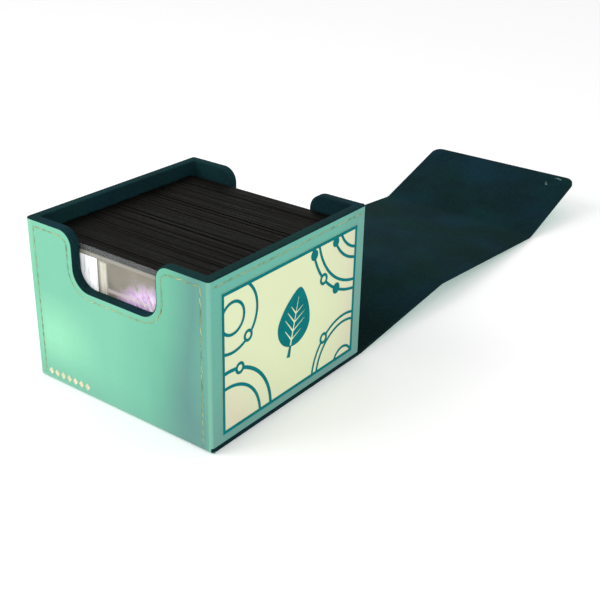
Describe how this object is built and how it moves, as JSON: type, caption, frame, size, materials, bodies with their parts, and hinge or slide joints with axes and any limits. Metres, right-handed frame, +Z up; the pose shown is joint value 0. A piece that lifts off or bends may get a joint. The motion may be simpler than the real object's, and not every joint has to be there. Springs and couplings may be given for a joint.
{
  "type": "card deck box",
  "caption": "Open-topped tray for a deck of sleeved cards, with thumb cut-outs front and rear and a soft fold-over lid in three hinged panels that closes over the front on hidden magnets.",
  "frame": {"origin": "centre of the tray's underside, on the table", "axes": "+X towards the printed side wall, -Y towards the front wall with the foil mark, +Z up; the lid lies open along +Y"},
  "size_m": [0.1042, 0.3571, 0.0775],
  "materials": {
    "leatherette": "fine-grained soft satin",
    "microfibre": "short brushed nap",
    "greyboard": "dense grey bookbinding board",
    "thread": "twisted polyester thread",
    "print_ground": "matt cream print",
    "print_ink": "matt teal print",
    "foil": "pale gold hot foil",
    "magnet": "nickel plate",
    "sleeve_black": "matt black sleeves",
    "card_face": "printed card",
    "sleeve_clear": "clear film"
  },
  "bodies": {
    "tray": {"base_skin": "leatherette", "base_board": "greyboard", "base_lining": "microfibre", "base_web": "microfibre", "floor_board": "greyboard", "floor_lining": "microfibre", "front_skin": "leatherette", "front_board": "greyboard", "front_lining": "microfibre", "rear_skin": "leatherette", "rear_board": "greyboard", "rear_lining": "microfibre", "left_skin": "leatherette", "left_board": "greyboard", "left_lining": "microfibre", "right_skin": "leatherette", "right_board": "greyboard", "right_lining": "microfibre", "wall_magnets": "magnet", "front_seam": "thread", "side_seams": "thread", "printed_panel": "print_ground", "print_border": "print_ink", "foil_mark": "foil"},
    "back_panel": {"back_panel_skin": "leatherette", "back_panel_board": "greyboard", "back_panel_lining": "microfibre", "back_panel_webs": "microfibre"},
    "top_panel": {"top_panel_skin": "leatherette", "top_panel_board": "greyboard", "top_panel_lining": "microfibre", "top_panel_webs": "microfibre"},
    "front_flap": {"flap_skin": "leatherette", "flap_board": "greyboard", "flap_lining": "microfibre", "flap_webs": "microfibre", "flap_magnets": "magnet"},
    "deck": {"sleeved_cards": "sleeve_black"},
    "front_card": {"front_card": "card_face", "front_sleeve": "sleeve_clear"}
  },
  "joints": [
    {"name": "back_fold", "type": "hinge", "parent": "tray", "child": "back_panel", "pos_m": [0, 0.055, 0.0013], "axis": [1, 0, 0], "range_deg": [-6.5, 83.5]},
    {"name": "top_fold", "type": "hinge", "parent": "back_panel", "child": "top_panel", "pos_m": [0, 0.1326, 0.01014], "axis": [1, 0, 0], "range_deg": [-20, 101.11]},
    {"name": "front_fold", "type": "hinge", "parent": "top_panel", "child": "front_flap", "pos_m": [0, 0.24224, 0.0013], "axis": [1, 0, 0], "range_deg": [-22.11, 67.89]},
    {"name": "deck_lift", "type": "slide", "parent": "tray", "child": "deck", "axis": [0, 0, -1], "range_m": [-0.09, 0]},
    {"name": "front_card_lift", "type": "slide", "parent": "tray", "child": "front_card", "axis": [0, 0, -1], "range_m": [-0.09, 0]}
  ]
}
